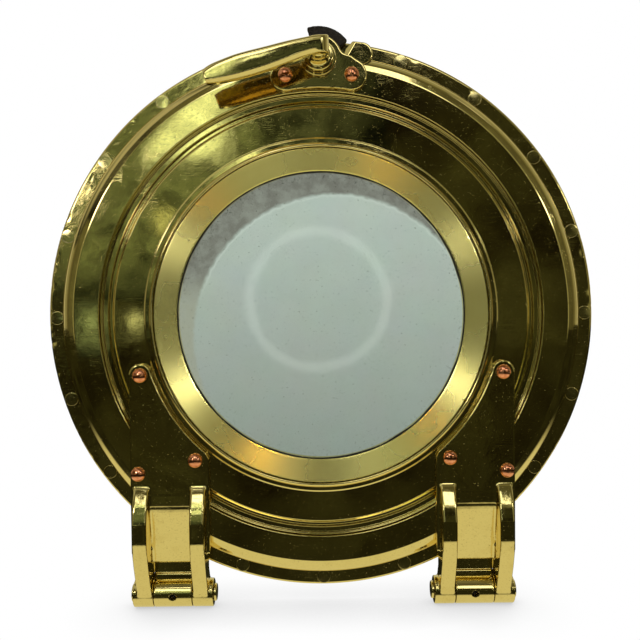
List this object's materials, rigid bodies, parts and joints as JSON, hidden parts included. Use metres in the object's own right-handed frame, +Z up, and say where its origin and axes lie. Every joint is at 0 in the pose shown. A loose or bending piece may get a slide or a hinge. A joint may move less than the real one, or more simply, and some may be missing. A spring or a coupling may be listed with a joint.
{
  "type": "port light",
  "caption": "Round opening port light: a flanged frame with a short spigot, a bottom-hinged glazed cover on two strap hinges, and a lever latch at the top.",
  "frame": {"origin": "on the frame's flat back face, midway across the flange, straight below the glass axis, which is 140 mm higher", "axes": "+Z up towards the latch, -Y out of the front (towards the viewer), +Y into the wall along the spigot, +X to the viewer's right"},
  "size_m": [0.356, 0.083, 0.3764],
  "materials": {
    "frame_brass": "polished brass, scuffed and scratched",
    "polished_brass": "mirror-polished brass with fine scratches",
    "satin_brass": "lathe-turned satin brass",
    "screw_brass": "brass screws dressed flush",
    "copper": "polished copper rivets",
    "steel": "plain steel",
    "black_iron": "blackened iron, rough",
    "black_rubber": "black rubber",
    "glass": "clear glass with a faint green cast"
  },
  "bodies": {
    "frame": {"frame_ring": "frame_brass", "flange_screw_01": "screw_brass", "flange_screw_02": "screw_brass", "flange_screw_03": "screw_brass", "flange_screw_04": "screw_brass", "flange_screw_05": "screw_brass", "flange_screw_06": "screw_brass", "flange_screw_07": "screw_brass", "flange_screw_08": "screw_brass", "flange_screw_09": "screw_brass", "flange_screw_10": "screw_brass", "flange_screw_11": "screw_brass", "flange_screw_12": "screw_brass", "flange_screw_13": "screw_brass", "flange_screw_14": "screw_brass", "flange_screw_15": "screw_brass", "flange_screw_16": "screw_brass", "flange_screw_17": "screw_brass", "keeper_block": "polished_brass", "hinge_bracket_left": "polished_brass", "bracket_rivet_left_1": "polished_brass", "bracket_rivet_left_2": "polished_brass", "hinge_pin_left": "polished_brass", "hinge_washer_left": "polished_brass", "hinge_grub_screw_left": "steel", "hinge_bracket_right": "polished_brass", "bracket_rivet_right_1": "polished_brass", "bracket_rivet_right_2": "polished_brass", "hinge_pin_right": "polished_brass", "hinge_washer_right": "polished_brass", "hinge_grub_screw_right": "steel"},
    "cover": {"cover_ring": "polished_brass", "glass_bezel": "satin_brass", "glass_pane": "glass", "glass_gasket_front": "black_rubber", "glass_gasket_rear": "black_rubber", "cover_seal": "black_rubber", "hinge_strap_left": "polished_brass", "strap_rivet_left_1": "copper", "strap_rivet_left_2": "copper", "strap_rivet_left_3": "copper", "hinge_strap_right": "polished_brass", "strap_rivet_right_1": "copper", "strap_rivet_right_2": "copper", "strap_rivet_right_3": "copper", "latch_plate": "polished_brass", "latch_rivet_1": "copper", "latch_rivet_2": "copper"},
    "latch": {"lever_handle": "polished_brass", "pivot_washer": "polished_brass", "latch_spindle": "steel", "spring_washer": "steel", "latch_cam": "black_iron", "spindle_nut": "steel"}
  },
  "joints": [
    {"name": "cover_hinge", "type": "hinge", "parent": "frame", "child": "cover", "pos_m": [0, -0.0102, -0.0413], "axis": [1, 0, 0], "range_deg": [0, 110]},
    {"name": "latch_turn", "type": "hinge", "parent": "cover", "child": "latch", "pos_m": [0, -0.02, 0.3027], "axis": [0, -1, 0], "range_deg": [0, 90]}
  ]
}
